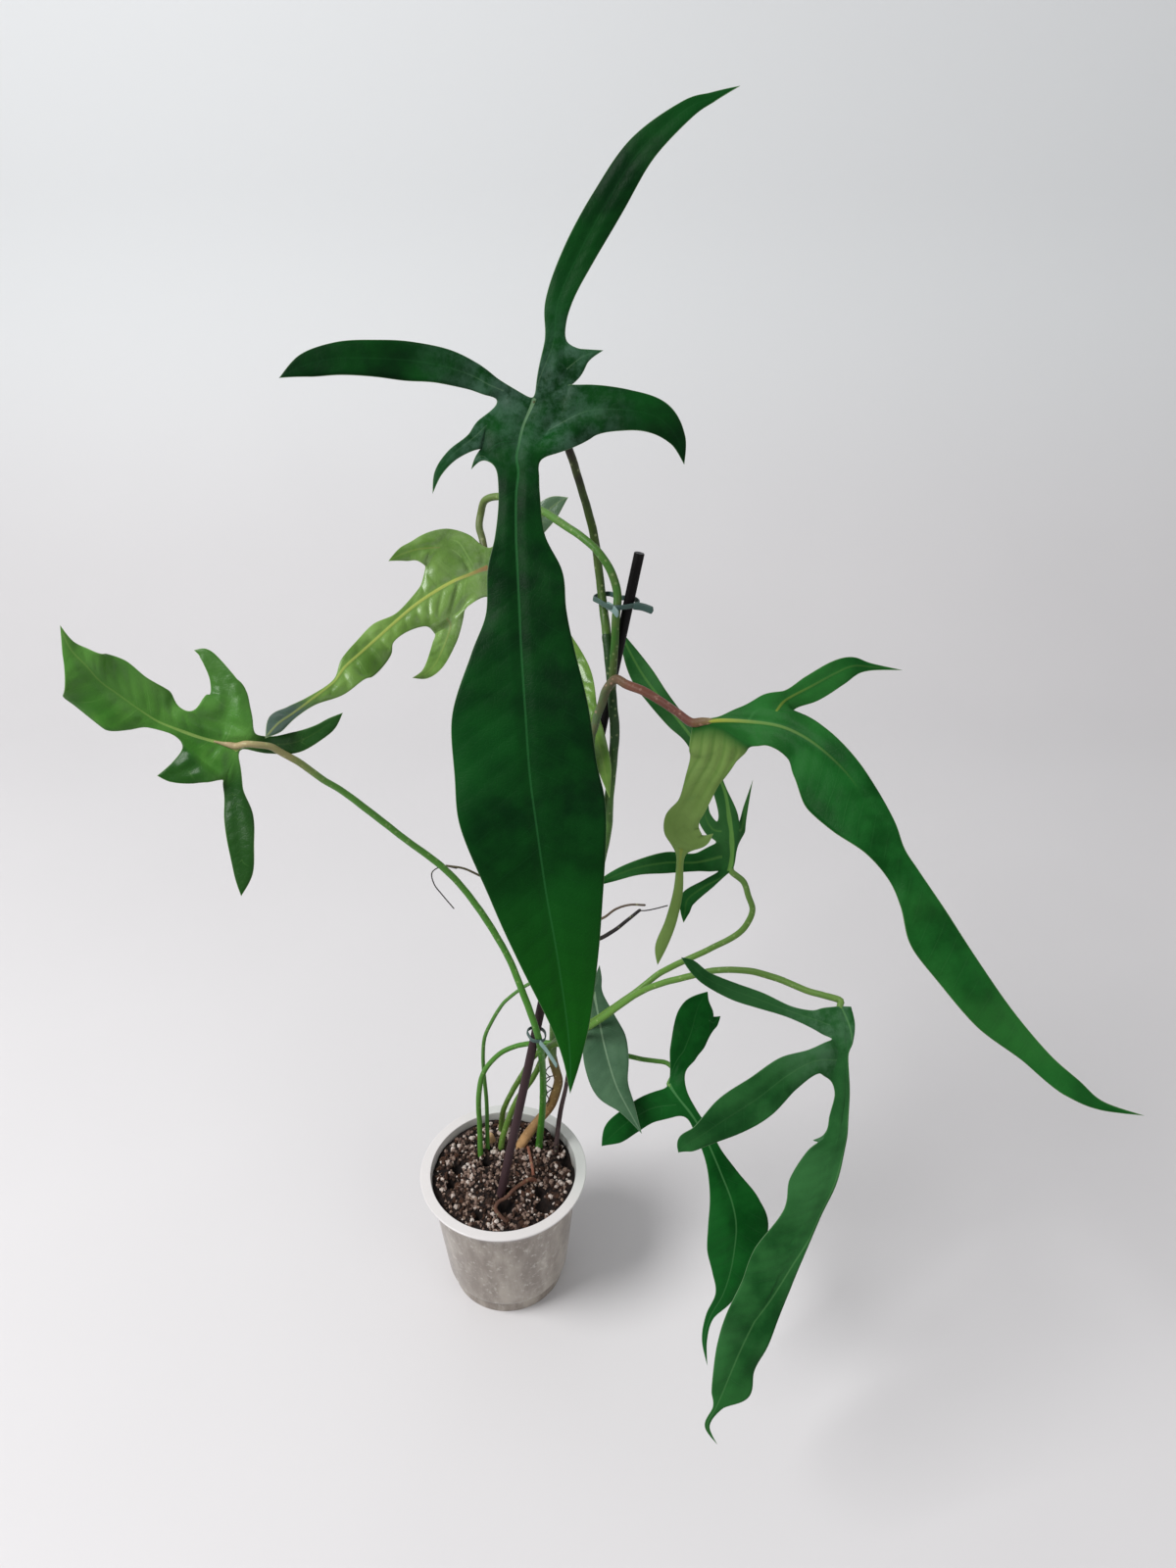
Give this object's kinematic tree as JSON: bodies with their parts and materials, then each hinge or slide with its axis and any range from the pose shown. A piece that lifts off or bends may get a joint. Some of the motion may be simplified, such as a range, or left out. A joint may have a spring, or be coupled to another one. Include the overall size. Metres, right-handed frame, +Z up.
{
  "type": "potted climbing philodendron",
  "caption": "Climbing aroid with long lobed leaves on arching stalks, tied to a thin dark stake in a translucent nursery pot of bark and perlite mix.",
  "frame": {"origin": "centre of the pot's underside, on the surface it stands on", "axes": "+Z up, +X to the right and +Y away, as seen from the front"},
  "size_m": [0.5396, 0.3419, 0.7813],
  "materials": {
    "pot_plastic": "milky translucent, lightly scuffed",
    "soil_mix": "damp bark with white perlite grains",
    "stake_coating": "smooth dark coating",
    "tie_plastic": "soft grey-green plastic",
    "stalk_green": "smooth green skin",
    "stalk_dark": "warty brown and green skin",
    "old_stem": "dry tan bark",
    "aerial_root": "dry brown skin",
    "leaf_dark": "satin leaf with pale ribs",
    "leaf_light": "glossy young leaf with sunken veins",
    "leaf_fresh": "satin leaf",
    "leaf_grey": "dull leaf underside"
  },
  "bodies": {
    "root": {"pot": "pot_plastic", "soil": "soil_mix", "stake": "stake_coating", "tie_upper": "tie_plastic", "tie_lower": "tie_plastic", "petiole_top": "stalk_dark", "petiole_left_middle": "stalk_green", "petiole_left_low": "stalk_green", "petiole_right_large": "stalk_dark", "petiole_right_back": "stalk_green", "petiole_right_hanging": "stalk_green", "petiole_low_middle": "stalk_green", "petiole_low_grey": "stalk_green", "vine_old_stem": "old_stem", "vine_knuckle": "old_stem", "vine_stem": "stalk_green", "root_down": "aerial_root", "root_left": "aerial_root", "root_right_thick": "aerial_root", "root_right_thin": "aerial_root", "root_loop": "old_stem", "leaf_top": "leaf_dark", "leaf_left_middle": "leaf_light", "leaf_left_low": "leaf_fresh", "leaf_right_large": "leaf_dark", "leaf_right_back": "leaf_dark", "leaf_right_hanging": "leaf_dark", "leaf_low_middle": "leaf_dark", "leaf_low_grey": "leaf_grey"}
  },
  "joints": []
}
